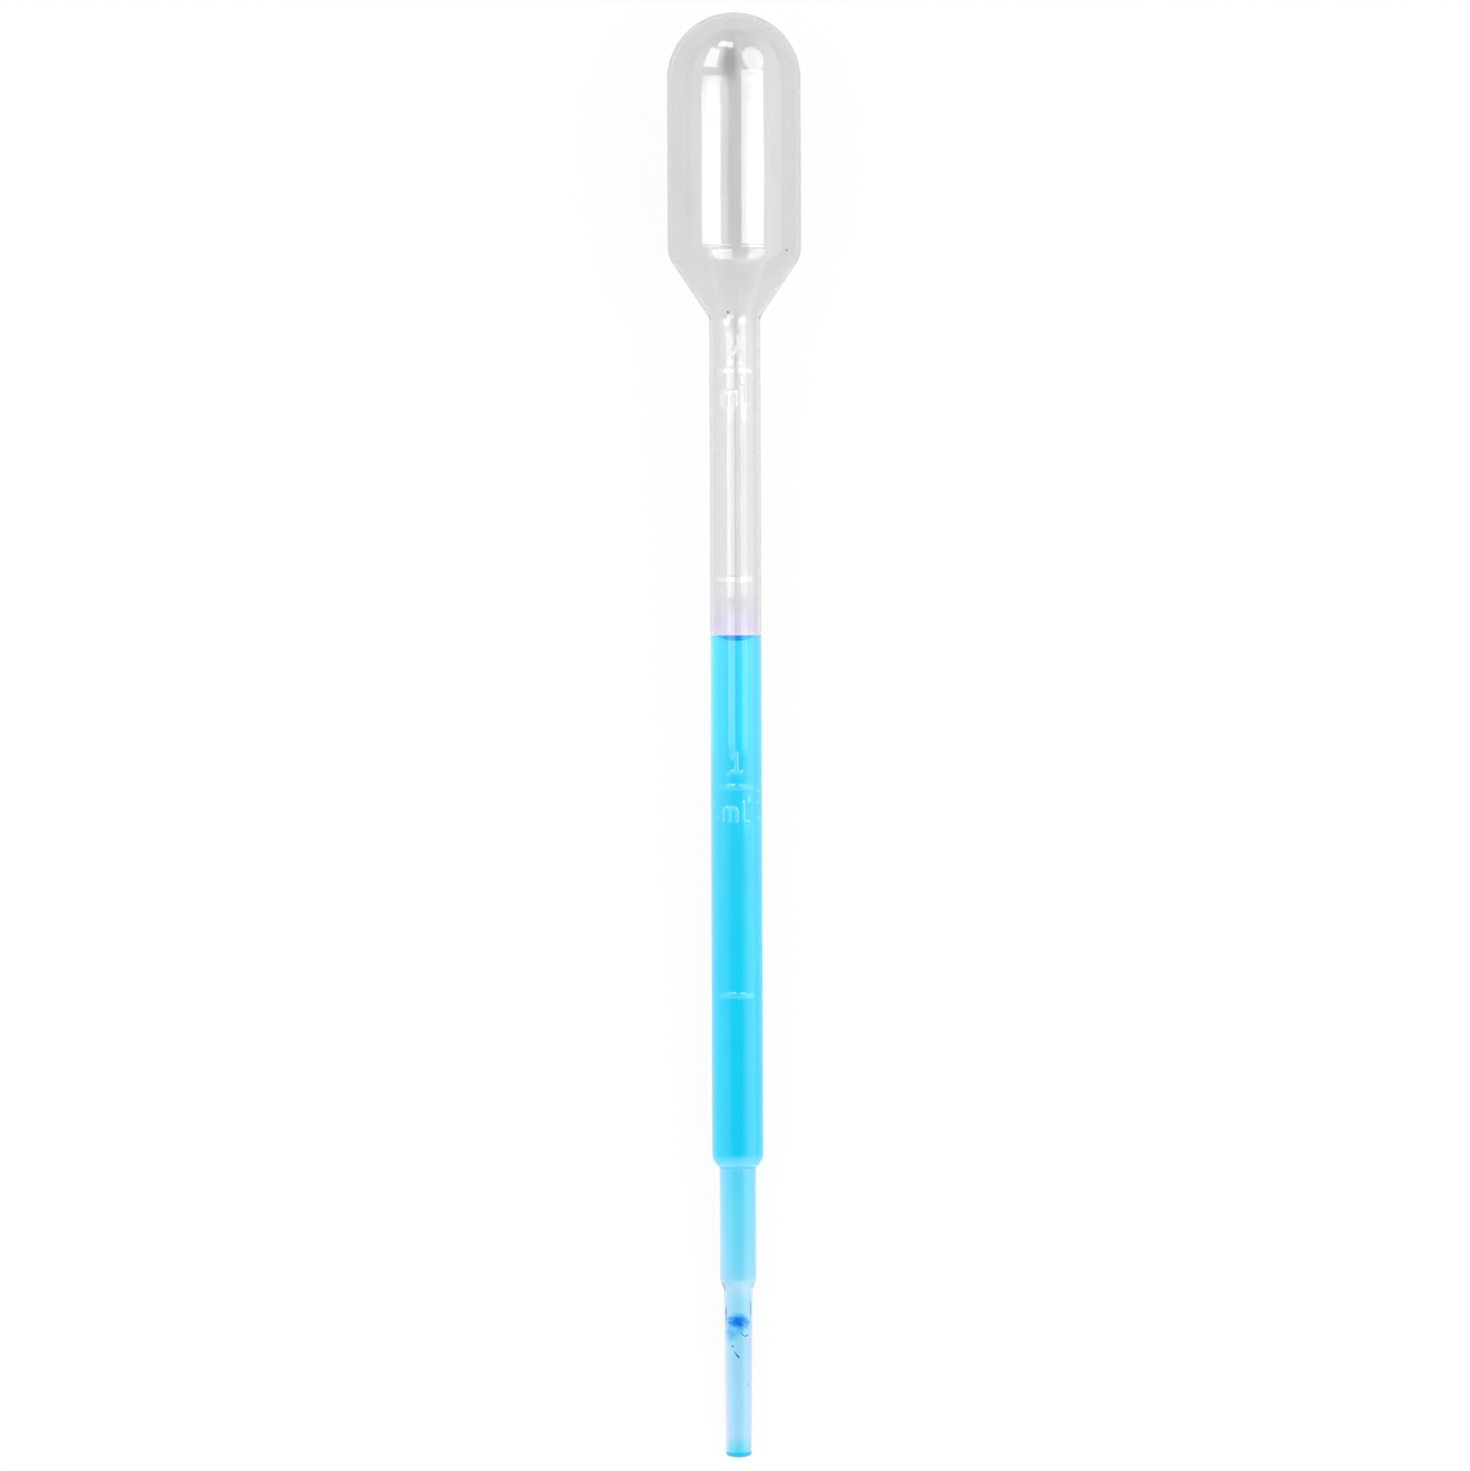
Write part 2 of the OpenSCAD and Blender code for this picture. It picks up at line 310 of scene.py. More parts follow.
def frost_and_painted_light(angle, t):
    """How the marks change the look of the surface: above 0 where it is frosted and given a
    painted highlight, on their tops and on a few spots beside the text that stand in for glints,
    and below 0 along their flanks, where shade is painted."""
    x = STEM_D / 2 * np.sin(angle)
    flank = mark_share(angle, t, 2 * MARK_EDGE)
    # Frosting with a painted highlight on the tops, less painted shade along the flanks
    share = TOP_FROST_AND_HIGHLIGHT * mark_share(angle, t) - FLANK_SHADE * 4 * flank * (1 - flank)
    ring_less = sum((1 - kept) * np.exp(-((t - place) / RING_REACH) ** 4)
               for place, kept in zip(MARK_PLACES, RING_FROST_AND_LIGHT))
    share = share * np.clip(crown(angle) / FADED_HEIGHT, 0, 1) * (1 - ring_less)
    # Frosted spots with a painted highlight, standing in for glints
    for glint_x, glint_t in GLINT_SPOTS:
        near = np.exp(-((x - glint_x) ** 2 + (t - glint_t) ** 2) / GLINT_REACH**2)
        share = np.maximum(share, near)
    return np.where(np.cos(angle) > 0, share, 0)


def mark_rings():
    """Places along the stem that need mesh rings for the marks to be drawn on them."""
    spans = [(p - MARK_W / 2 - MARK_EDGE, p + MARK_W / 2 + MARK_EDGE) for p in MARK_PLACES]
    spans += [(low + TEXT_MARGIN / 2, high - TEXT_MARGIN / 2) for _, low, high in TEXT_SETS]
    rings = []
    for low, high in spans:
        rings += list(np.linspace(low, high, math.ceil((high - low) / MARK_GRID) + 1))
    return sorted(rings)


# ---------------- turned meshes

def turned_angles():
    """Angles of the mesh's lines round the tube: close together over the letters."""
    text, line, fine, middling, coarse = 37, 53, 1.0, 2.0, 3.2
    angles = list(np.arange(-text, text, fine))
    angles += list(np.arange(text, line, middling))
    rest = 360 - text - line
    count = math.ceil((rest - line) / coarse)
    angles += list(np.linspace(line, rest, count, endpoint=False))
    angles += list(np.arange(rest, 360 - text, middling))
    return np.radians(angles)


def new_mesh(name, points, faces, normals=None):
    """A mesh object from points of the tube's frame, with smooth faces."""
    mesh = bpy.data.meshes.new(name)
    mesh.from_pydata(in_world(points).tolist(), [], faces)
    mesh.polygons.foreach_set("use_smooth", [True] * len(mesh.polygons))
    mesh.validate()
    if normals is not None:
        in_scene = np.asarray(normals) @ np.array(TUBE).T
        mesh.normals_split_custom_set_from_vertices(in_scene.tolist())
    piece = bpy.data.objects.new(name, mesh)
    bpy.context.scene.collection.objects.link(piece)
    return piece


def store(piece, name, values):
    """Keeps a number for each point of a mesh, for its material to read."""
    layer = piece.data.attributes.new(name, "FLOAT", "POINT")
    layer.data.foreach_set("value", np.asarray(values, np.float32))


def raise_marks(ring, angle, t, radius, along, turn):
    """Raises the marks on the stem's rings of points, in place, and tilts the normals to match.
    Returns the frosting, with its painted highlight and shade, of every point."""
    frosting_and_painted_light = 0 * t
    on_stem = (ring[:, 0] > STEM_D / 2 - 1e-3) & (ring[:, 0] < STEM_D / 2 + 1e-3)
    rows = on_stem & (ring[:, 1] > MARKS_FROM) & (ring[:, 1] < STEM_END)
    small = 0.004
    a, p = angle[rows], t[rows]
    radius[rows] += relief(a, p)
    frosting_and_painted_light[rows] = frost_and_painted_light(a, p)
    along[rows] -= (relief(a, p + small) - relief(a, p - small)) / (2 * small)
    step = small / (STEM_D / 2)
    turn[rows] -= (relief(a + step, p) - relief(a - step, p)) / (2 * small)
    return frosting_and_painted_light


def let_wander(angle, t, radius, across, along, turn):
    """Moves points of the tube in or out, in place, as the blown wall wanders, and tilts the
    normals to match."""
    hollow_side = across[:, :1] < 0
    small = 0.02
    radius += uneven_wall(angle, t, hollow_side)
    slope = (uneven_wall(angle, t + small, hollow_side)
             - uneven_wall(angle, t - small, hollow_side)) / (2 * small)
    round_it = (uneven_wall(angle + small, t, hollow_side)
                - uneven_wall(angle - small, t, hollow_side)) / (2 * small)
    along -= slope * across
    turn -= round_it / np.maximum(radius, 0.5) * across


def ring_faces(n, m):
    """Faces between m rings of n points and the two points that close their ends, and the
    index of the band that each face belongs to."""
    first, last = n * m, n * m + 1
    faces, bands = [], []
    for j in range(n):
        k = (j + 1) % n
        faces.append((first, j, k))
        bands.append(0)
        for i in range(m - 1):
            faces.append((i * n + j, (i + 1) * n + j, (i + 1) * n + k, i * n + k))
            bands.append(i + 1)
        faces.append(((m - 1) * n + j, last, (m - 1) * n + k))
        bands.append(m)
    return faces, bands


def turned(name, path, angles, is_tube=False):
    """A closed turned mesh. The path [radius, place, normal across, normal along] starts
    and ends on the axis, and its normals point out of the solid. The tube has the marks and
    an uneven wall. Returns the object and the index of the path's band of each face."""
    path = np.array(path)
    ring = path[1:-1]
    radius, t = ring[:, :1] + 0 * angles[None, :], ring[:, 1:2] + 0 * angles[None, :]
    across, along = ring[:, 2:3] + 0 * t, ring[:, 3:4] + 0 * t
    angle = angles[None, :] + 0 * t
    turn = 0 * t
    if is_tube:
        frosting_and_painted_light = raise_marks(ring, angle, t, radius, along, turn)
        let_wander(angle, t, radius, across, along, turn)
    sin, cos = np.sin(angle), np.cos(angle)
    points = np.stack([radius * sin, t, radius * cos], -1).reshape(-1, 3)
    normals = np.stack([across * sin + turn * cos, along, across * cos - turn * sin], -1)
    normals = normals.reshape(-1, 3)
    normals /= np.linalg.norm(normals, axis=1, keepdims=True)
    points = np.vstack([points, [[0, path[0][1], 0], [0, path[-1][1], 0]]])
    normals = np.vstack([normals, [[0, math.copysign(1, path[0][3]), 0],
                                   [0, math.copysign(1, path[-1][3]), 0]]])
    faces, bands = ring_faces(len(angles), len(ring))
    piece = new_mesh(name, points, faces, normals)
    store(piece, "along_tube", np.append(t.ravel(), [path[0][1], path[-1][1]]) / TOP)
    if is_tube:
        store(piece, "mark_frost_and_painted_light", np.append(frosting_and_painted_light.ravel(), [0, 0]))
    return piece, bands


def flipped(points):
    """The outline from its other end, with its normals turned round for a hollow side."""
    return [[r, t, -nr, -nt] for r, t, nr, nt in points]


# ---------------- the tube

EDGE_ROUND = 0.05     # rounding of the edges at the open end of the tip


def edge_arc(radius, side):
    """Points of the rounding at the open end of the tip, outside (1) or inside (-1)."""
    centre = radius - side * EDGE_ROUND
    angles = np.radians([0, 22.5, 45, 67.5, 90])
    points = [[centre + side * EDGE_ROUND * math.cos(a), EDGE_ROUND * (1 - math.sin(a)),
               side * math.cos(a), -math.sin(a)] for a in angles]
    return points if side > 0 else points[::-1]


GROOVE_PLACE, GROOVE_DEPTH, GROOVE_REACH = 133.3, 0.03, 0.1     # mould line of the bulb
HOLLOW_WANDER, STEM_WANDER, OUTSIDE_WANDER = 0.009, 0.0012, 0.004
BULB_HOLLOW_FROM = BULB_START - 1.2     # the bulb's material starts here, inside


def groove_rings():
    return [GROOVE_PLACE + k * GROOVE_REACH / 4 for k in range(-10, 11)]


def uneven_wall(angle, t, hollow_side):
    """How far the blown wall wanders from its mean radius, in millimetres. The hollow side
    of the bulb wanders most. The wall has a fine mould line at the front of the foot of the
    bulb's straight part."""
    in_bulb = np.clip((t - STEM_END) / 8, 0, 1) * np.clip((TOP - 1.5 - t) / 4, 0, 1)
    wave = (np.sin(3 * angle + 0.21 * t) + 0.7 * np.sin(5 * angle - 0.47 * t + 1.1)
            + 0.5 * np.sin(2 * angle + 0.9 * t + 2.3))
    ripple = np.sin(7 * angle + 0.6 * t) + np.sin(4 * angle - 1.3 * t + 0.7)
    in_stem = np.clip((t - FILL_END - 0.5) / 3, 0, 1) * (1 - in_bulb)
    size = np.where(hollow_side, HOLLOW_WANDER * in_bulb + STEM_WANDER * in_stem,
                    OUTSIDE_WANDER * in_bulb)
    size = size * np.clip(1.6 * np.abs(np.cos(angle)) - 0.3, 0, 1)
    line = np.exp(-(((t - GROOVE_PLACE) / GROOVE_REACH) ** 2)) * np.clip(np.cos(angle), 0, 1)
    return size * wave + 0.25 * size * ripple * hollow_side - GROOVE_DEPTH * line


def tube_path():
    """The outline from the dome down the outside and up the hollow side to the dome again,
    and the number of its bands that are outside."""
    outside = spaced(rounded(corners(0, 0, 0, 0)), sorted(mark_rings() + groove_rings()))
    outside += dome(BULB_D / 2)
    hollow = rounded(corners(BULB_WALL, STEM_WALL, LOWER_WALL, TIP_WALL))
    hollow = spaced(hollow, [FILL_END] + groove_rings()) + dome(BULB_D / 2 - BULB_WALL)
    outside[-1][0] = hollow[-1][0] = 0
    edge = edge_arc(TIP_END_D / 2, 1)
    path = outside[::-1][:-1] + edge + edge_arc(TIP_END_D / 2 - TIP_WALL, -1)
    return path + flipped(hollow[1:]), len(outside) + len(edge) - 1


def wall_materials():
    """The outside, then the hollow side in the bulb, in the dry stem and where it is wet,
    where light goes between plastic and water. Each is given its roughness, its IOR and how
    clear it is."""
    return (plastic("soft_plastic_outside", 0.05, PLASTIC_IOR, 0.995, OUTSIDE_STOPS,
                    haze_stops=HAZE_STOPS),
            plastic("soft_plastic_bulb_hollow", 0.12, PLASTIC_IOR, 0.97, HOLLOW_STOPS, BULB_DARK_REFLECTION),
            plastic("soft_plastic_stem_hollow", 0.1, PLASTIC_IOR, 0.97, HOLLOW_STOPS),
            plastic("soft_plastic_wetted", 0.04, PLASTIC_IOR / WATER_IOR, 1.0, HOLLOW_STOPS))


def make_tube(angles):
    path, outside_bands = tube_path()
    tube, bands = turned("dropper_tube", path, angles, is_tube=True)
    slots = []
    for band in bands:
        place = (path[band][1] + path[band + 1][1]) / 2
        hollow_slot = 1 if place > BULB_HOLLOW_FROM else 2 if place > FILL_END else 3
        slots.append(0 if band < outside_bands else hollow_slot)
    tube.data.polygons.foreach_set("material_index", slots)
    for material in wall_materials():
        tube.data.materials.append(material)
    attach(tube, "root")
    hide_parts("pipette_body")


# ---------------- the liquid

# The meniscus is a bowl inside a rim that climbs the wall. The rim makes it 0.1 deeper than
# the CAD model's, which has none.
BOWL_RADIUS, BOWL_POWER, RIM_CLIMB = 1.56, 2.65, 0.1
RIM_RADIUS = STEM_D / 2 - STEM_WALL - LIQUID_GAP
# Strength of the painted shade in the meniscus: in the middle of the bowl and how much less at its
# sides; and of the bluer tint of the drop: at the open end of the tip and how much more for each
# millimetre down the drop
BOWL_SHADE, SIDE_LESS, DROP_TINT, DROP_MORE = 0.78, 0.34, 0.5, 1.1


def meniscus():
    """Hollow top of the liquid, from the axis to its rim: a flat-bottomed bowl inside a
    narrow rim that climbs the wall."""
    points = []
    for r in [*np.linspace(0, BOWL_RADIUS, 30), *np.linspace(BOWL_RADIUS, RIM_RADIUS, 8)[1:-1],
              RIM_RADIUS - 0.002]:
        share = r / BOWL_RADIUS
        climb = max(r - BOWL_RADIUS, 0) / (RIM_RADIUS - BOWL_RADIUS)
        if share <= 1:
            slope = MENISCUS_DEPTH * BOWL_POWER * share ** (BOWL_POWER - 1) / BOWL_RADIUS
        else:
            slope = 4 * RIM_CLIMB * climb**3 / (RIM_RADIUS - BOWL_RADIUS)
        depth = RIM_CLIMB * (1 - climb**4) + MENISCUS_DEPTH * max(1 - share**BOWL_POWER, 0)
        points.append([r, FILL_END - depth, *unit(np.array([-slope, 1.0]))])
    return points


def drop():
    """Drop that stands out of the tip, from its rim to the axis."""
    radius, length = TIP_END_D / 2 - DROP_INSET, DROP_L - LIQUID_GAP
    points = []
    for a in np.radians([*np.arange(0, 12, 1.5), *np.arange(12, 90, 3), 90]):
        c, s = max(math.cos(a), 0) if a < math.pi / 2 else 0.0, math.sin(a)
        r, depth = radius * c ** (2 / DROP_POWER), length * s ** (2 / DROP_POWER)
        nr = (r / radius) ** (DROP_POWER - 1) / radius
        nt = (depth / length) ** (DROP_POWER - 1) / length
        points.append([r, -LIQUID_GAP - depth, *unit(np.array([nr, -nt]))])
    return points


def liquid_path():
    """The liquid's outline from the middle of its top to the end of the drop, and how many
    of its points are in the top and in the drop."""
    side = [r + LIQUID_GAP for r in (BULB_WALL, STEM_WALL, LOWER_WALL, TIP_WALL)]
    column = spaced(rounded(corners(*side)), [FILL_END - 0.03, FILL_END])
    column = [p for p in column if p[1] < FILL_END + 1e-3]
    top, bulge = meniscus(), drop()
    foot = column[0][0]
    lip = [[foot, -LIQUID_GAP / 2, 1, 0], [foot + 0.005, -LIQUID_GAP, 0, 1],
           [bulge[0][0] - 0.005, -LIQUID_GAP, 0, 1]]
    return top + column[::-1] + lip + bulge, len(top), len(bulge)


def make_liquid(angles):
    """The liquid, with what its material reads: where it is the drop, whose surface bends light,
    and how strong the painted shade in the bowl of its top and the bluer tint of the drop are."""
    path, top_count, drop_count = liquid_path()
    liquid, _ = turned("blue_liquid_column", path, angles)
    radius, place = (np.repeat([[p[i]] for p in path[1:-1]], len(angles), axis=1) for i in (0, 1))
    row = np.arange(len(path) - 2)[:, None]
    at_top, at_drop = row < top_count, row > len(path) - 2 - drop_count
    aside = radius * np.sin(angles)[None, :] / BOWL_RADIUS
    in_bowl = radius < BOWL_RADIUS + 1e-3
    # Painted shade in the bowl of the meniscus, weaker towards its sides; a bluer tint growing
    # down the drop
    shade_and_tint = np.where(at_top, in_bowl * (BOWL_SHADE - SIDE_LESS * aside**2),
                    np.clip(DROP_TINT - DROP_MORE * place, 0, 1) * at_drop)
    store(liquid, "free_surface", [*(at_drop + 0 * place).ravel(), 0, 1])
    store(liquid, "bowl_shade_and_drop_tint", [*shade_and_tint.ravel(), 1, 1])
    liquid.data.materials.append(water())
    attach(liquid, "root")
    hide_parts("liquid")


# ---------------- materials

PLASTIC_IOR, WATER_IOR = 1.51, 1.333
LOW_COLOUR, HIGH_COLOUR, MIXED = 6, 7, 2      # sockets of a Mix node that mixes colours

# The plastic: what its noise and its marks change
WALL_CLOUD, CLOUD_STRETCH = 420.0, 0.3      # fineness of the mottling, and its shape
MOTTLE = (0.95, 1.045)                      # darkest and lightest tone of the mottled wall
GLOSS_SPREAD = (0.8, 1.25)                  # least and most of its roughness
MARK_COAT_ROUGHNESS, MARK_COAT_IOR = 0.22, 1.8
# On the marks the wall's colour is made lighter, a painted highlight; they are also duller and
# milkier
MARK_HIGHLIGHT, MARK_DULLER, MARK_MILKIER = 0.2, 0.15, 0.1
FLANK_SHADE_TONE = 0.5                            # tone of the darkest painted shade along the marks' flanks
# Tone in the middle of the painted dark reflection inside the dome
DARK_REFLECTION_TONE = 0.45

# Tints along the tube as (place, colour): of the hollow side and of the outside
WET_TINT, STAINED_TINT, STEM_TINT, BULB_TINT = (
    (0.97, 0.83, 1.0), (0.87, 0.84, 0.96), (0.91, 0.91, 0.915), (0.84, 0.84, 0.85))
HOLLOW_STOPS = ((0, WET_TINT), (FILL_END - 0.01, WET_TINT), (FILL_END + 0.01, STAINED_TINT),
                (FILL_END + 1.5, STAINED_TINT), (FILL_END + 4.5, STEM_TINT),
                (STEM_END, STEM_TINT), (BULB_START, BULB_TINT))
OUTSIDE_STOPS = ((0, (0.86, 0.93, 1.0)), (FILL_END - 1, (0.86, 0.93, 1.0)),
                 (FILL_END + 0.5, (0.83, 0.81, 0.87)), (FILL_END + 6, (0.81, 0.81, 0.82)),
                 (STEM_END, (0.805, 0.805, 0.81)), (BULB_START, (0.8, 0.8, 0.81)))
# Cloudiness of the outside along the tube, at the step and at the shoulder
STEP_HAZE, SHOULDER_HAZE = 0.22, 0.15
HAZE_STOPS = ((LOWER_START - 2.2, 0.0), (LOWER_START - 1.3, STEP_HAZE),
              (LOWER_START - 0.2, STEP_HAZE), (LOWER_START + 0.4, 0.0),
              (LOWER_END - 0.5, 0.0), (LOWER_END + 0.1, SHOULDER_HAZE),
              (STEM_START - 0.2, SHOULDER_HAZE), (STEM_START + 0.8, 0.0))
# Middle and half sizes of a painted dark reflection inside the dome
BULB_DARK_REFLECTION = ((-0.55, 153.45, 6.8), (1.5, 3.1, 4.0))

# The dye in the water: absorption per metre where it is strongest, its share along the tube,
# and clouds of it round the clot, each with its middle, its half sizes and its strength
DYE_STRONGEST, CLOUD_STRONGEST = 1200.0, 2700.0
DYE_STOPS = ((0, 0.82), (1.8, 0.31), (LOWER_START, 0.36), (LOWER_END - 1, 0.55),
             (STEM_START + 1, 0.96), (50, 0.88), (66, 0.68), (FILL_END, 0.5))
CLOUDS = (((0.0, 14.4, 0.0), (1.2, 1.2, 1.1), 1.1), ((0.05, 13.5, 0.1), (0.8, 1.0, 0.9), 0.4),
          ((-0.7, 13.2, 0.2), (0.9, 1.5, 0.9), 0.45))
CLOUD_CURLS, STAIN_GRAIN = 1900.0, 2500.0     # fineness of their noise
DYE_COLOUR, CLOUD_COLOUR, FULL_CLOUD = (0.0, 0.975, 1.0, 1), (0.08, 0.77, 0.99, 1), 0.45
# Tints of the painted shade in the meniscus and of the drop, as they get stronger from 0 and from
# a half
SHADE_AND_DROP_TINTS = ((0.0, (0.0, 0.82, 0.97, 1)), (0.5, (0.0, 0.2, 0.87, 1)))
PLAIN_DENSITY = 700.0     # stands in for the linked density where the nodes aren't read


def node_tools(material):
    """Functions that add a node and link two sockets in a material's node tree. A socket is
    given by its name or its number."""
    tree = material.node_tree

    def add(kind, **settings):
        node = tree.nodes.new(kind)
        for key, value in settings.items():
            if hasattr(node, key):
                setattr(node, key, value)
            else:
                node.inputs[key.replace("_", " ")].default_value = value
        return node

    def link(source, name, node, socket):
        tree.links.new(source.outputs[name], node.inputs[socket])

    return add, link


def new_material(name):
    material = bpy.data.materials.new(name)
    material.use_nodes = True
    material.node_tree.nodes.clear()
    add, link = node_tools(material)
    output = add("ShaderNodeOutputMaterial")
    shader = add("ShaderNodeBsdfPrincipled")
    link(shader, "BSDF", output, "Surface")
    return material, add, link, shader, output


def ramp(add, link, source, socket, stops):
    """A colour ramp over the tube's length. The stops are (place, colour or grey)."""
    node = add("ShaderNodeValToRGB")
    link(source, socket, node, 0)
    elements = node.color_ramp.elements
    while len(elements) < len(stops):
        elements.new(0.5)
    for element, (place, colour) in zip(elements, stops):
        element.position = place / TOP
        element.color = (*colour, 1) if isinstance(colour, tuple) else (colour,) * 3 + (1,)
    return node


def blend(add, link, share, low, high):
    """A node that mixes two colours by a share, which is a node and its socket."""
    node = add("ShaderNodeMix", data_type="RGBA")
    node.inputs[LOW_COLOUR].default_value = low
    node.inputs[HIGH_COLOUR].default_value = high
    link(*share, node, 0)
    return node


def times_plus(add, link, source, factor, plus):
    """A node for source times factor plus a number or another source. A source is a node
    and its socket."""
    node = add("ShaderNodeMath", operation="MULTIPLY_ADD")
    link(*source, node, 0)
    node.inputs[1].default_value = factor
    if isinstance(plus, tuple):
        link(*plus, node, 2)
    else:
        node.inputs[2].default_value = plus
    return node


def wall_noise(add, link):
    """Object coordinates, and the noise that mottles the wall, drawn out along the tube."""
    place = add("ShaderNodeTexCoord")
    stretch = add("ShaderNodeMapping")
    stretch.inputs["Scale"].default_value = (1.0, CLOUD_STRETCH, 1.0)
    link(place, "Object", stretch, "Vector")
    cloud = add("ShaderNodeTexNoise", Scale=WALL_CLOUD, Detail=3.0)
    link(stretch, "Vector", cloud, "Vector")
    return place, cloud


def wall_tone(add, link, place, cloud, mark, flank, dark_reflection):
    """How light the wall is: mottled, with a painted highlight on the marks, painted shade along
    their flanks, and darker still in a painted dark reflection."""
    wall = add("ShaderNodeMapRange", To_Min=MOTTLE[0], To_Max=MOTTLE[1])
    link(cloud, "Fac", wall, "Value")
    # Painted highlight on the marks' tops, painted shade along their flanks
    tone = times_plus(add, link, (mark, "Result"), MARK_HIGHLIGHT, (flank, "Result"))
    mottle = add("ShaderNodeMath", operation="MULTIPLY")
    link(wall, "Result", mottle, 0)
    link(tone, "Value", mottle, 1)
    if not dark_reflection:
        return mottle
    # Painted dark reflection: the wall darkens round a place inside the dome
    shade = add("ShaderNodeMapRange", To_Min=1.0, To_Max=DARK_REFLECTION_TONE)
    link(nearness(add, link, place, *dark_reflection, cloud), "Result", shade, "Value")
    darker = add("ShaderNodeMath", operation="MULTIPLY")
    link(mottle, "Value", darker, 0)
    link(shade, "Result", darker, 1)
    return darker


def plastic(name, roughness, ior, clear, stops, dark_reflection=None, haze_stops=None):
    """Soft polyethylene: faintly cloudy, with a mottled wall and a slightly uneven gloss.
    The stops give its tint along the tube, and the haze stops its cloudiness. The marks are
    frosted, with a coat that catches the lamps, a painted highlight on their tops and painted
    shade along their flanks. A painted dark reflection can be given by its middle and its half
    sizes."""
    material, add, link, shader, _ = new_material(name)
    shader.inputs["IOR"].default_value = ior
    shader.inputs["Coat Roughness"].default_value = MARK_COAT_ROUGHNESS
    shader.inputs["Coat IOR"].default_value = MARK_COAT_IOR
    along = add("ShaderNodeAttribute", attribute_name="along_tube")
    frosting_and_painted_light = add("ShaderNodeAttribute", attribute_name="mark_frost_and_painted_light")
    mark = add("ShaderNodeMapRange")
    link(frosting_and_painted_light, "Fac", mark, "Value")
    link(mark, "Result", shader, "Coat Weight")
    # Painted shade along the marks' flanks, where the frosting share falls below 0
    flank = add("ShaderNodeMapRange", From_Min=-0.5, From_Max=0.0, To_Min=FLANK_SHADE_TONE, To_Max=1.0)
    link(frosting_and_painted_light, "Fac", flank, "Value")
    place, cloud = wall_noise(add, link)
    tint = add("ShaderNodeVectorMath", operation="MULTIPLY")
    link(ramp(add, link, along, "Fac", stops), "Color", tint, 0)
    link(wall_tone(add, link, place, cloud, mark, flank, dark_reflection), "Value", tint, 1)
    link(tint, "Vector", shader, "Base Color")
    gloss = add("ShaderNodeMapRange", To_Min=roughness * GLOSS_SPREAD[0],
                To_Max=roughness * GLOSS_SPREAD[1])
    link(cloud, "Fac", gloss, "Value")
    dull = times_plus(add, link, (mark, "Result"), MARK_DULLER, (gloss, "Result"))
    link(dull, "Value", shader, "Roughness")
    light_through = times_plus(add, link, (mark, "Result"), -MARK_MILKIER, clear)
    if haze_stops:
        less = add("ShaderNodeMath", operation="SUBTRACT")
        link(light_through, "Value", less, 0)
        link(ramp(add, link, along, "Fac", haze_stops), "Color", less, 1)
        light_through = less
    link(light_through, "Value", shader, "Transmission Weight")
    return material


def nearness(add, link, place, middle, reach, uneven, strength=1.0):
    """A share that falls off round a place on the tube. The reach is half a size across,
    along and deep, and a noise node makes its edge uneven."""
    away = add("ShaderNodeVectorMath", operation="SUBTRACT")
    link(place, "Object", away, 0)
    away.inputs[1].default_value = world_point(*middle)
    scaled = add("ShaderNodeVectorMath", operation="DIVIDE")
    link(away, "Vector", scaled, 0)
    scaled.inputs[1].default_value = [half * MM for half in reach]
    length = add("ShaderNodeVectorMath", operation="LENGTH")
    link(scaled, "Vector", length, 0)
    far = add("ShaderNodeMath", operation="ADD")
    link(length, "Value", far, 0)
    link(uneven, "Fac", far, 1)
    share = add("ShaderNodeMapRange", interpolation_type="SMOOTHSTEP", From_Min=0.7,
                From_Max=1.5, To_Min=strength, To_Max=0.0)
    link(far, "Value", share, "Value")
    return share


def dye_clouds(add, link):
    """How much dye hangs in the water at a place, in clouds round the clot."""
    place = add("ShaderNodeTexCoord")
    curl = add("ShaderNodeTexNoise", Scale=CLOUD_CURLS, Detail=3.0)
    link(place, "Object", curl, "Vector")
    shares = [nearness(add, link, place, middle, reach, curl, strength)
              for middle, reach, strength in CLOUDS]
    total = shares[0]
    for share in shares[1:]:
        most = add("ShaderNodeMath", operation="MAXIMUM")
        link(total, 0, most, 0)
        link(share, "Result", most, 1)
        total = most
    return total


def shade_and_tint_colour(add, link):
    """Node with the colour of the water's surface: painted shade in the bowl of the meniscus and a
    bluer tint on the drop.
    """
    shade_and_tint = add("ShaderNodeAttribute", attribute_name="bowl_shade_and_drop_tint")
    colour = None
    for start, tinted in SHADE_AND_DROP_TINTS:
        part = add("ShaderNodeMapRange", From_Min=start, From_Max=start + 0.5)
        link(shade_and_tint, "Fac", part, "Value")
        tint = blend(add, link, (part, "Result"), (1.0, 1.0, 1.0, 1), tinted)
        if colour:
            link(colour, MIXED, tint, LOW_COLOUR)
        colour = tint
    return colour


def dye_density(add, link, cloud):
    """How much the dye absorbs at a place: its share along the tube, and its clouds."""
    place = add("ShaderNodeTexCoord")
    along = add("ShaderNodeVectorMath", operation="DOT_PRODUCT")
    link(place, "Object", along, 0)
    along.inputs[1].default_value = ALONG / (TOP * MM)
    share = add("ShaderNodeMath", operation="SUBTRACT")
    link(along, "Value", share, 0)
    share.inputs[1].default_value = ORIGIN.dot(ALONG) / (TOP * MM)
    density = add("ShaderNodeMath", operation="MULTIPLY")
    link(ramp(add, link, share, "Value", DYE_STOPS), "Color", density, 0)
    density.inputs[1].default_value = DYE_STRONGEST
    return times_plus(add, link, (cloud, "Value"), CLOUD_STRONGEST, (density, "Value"))


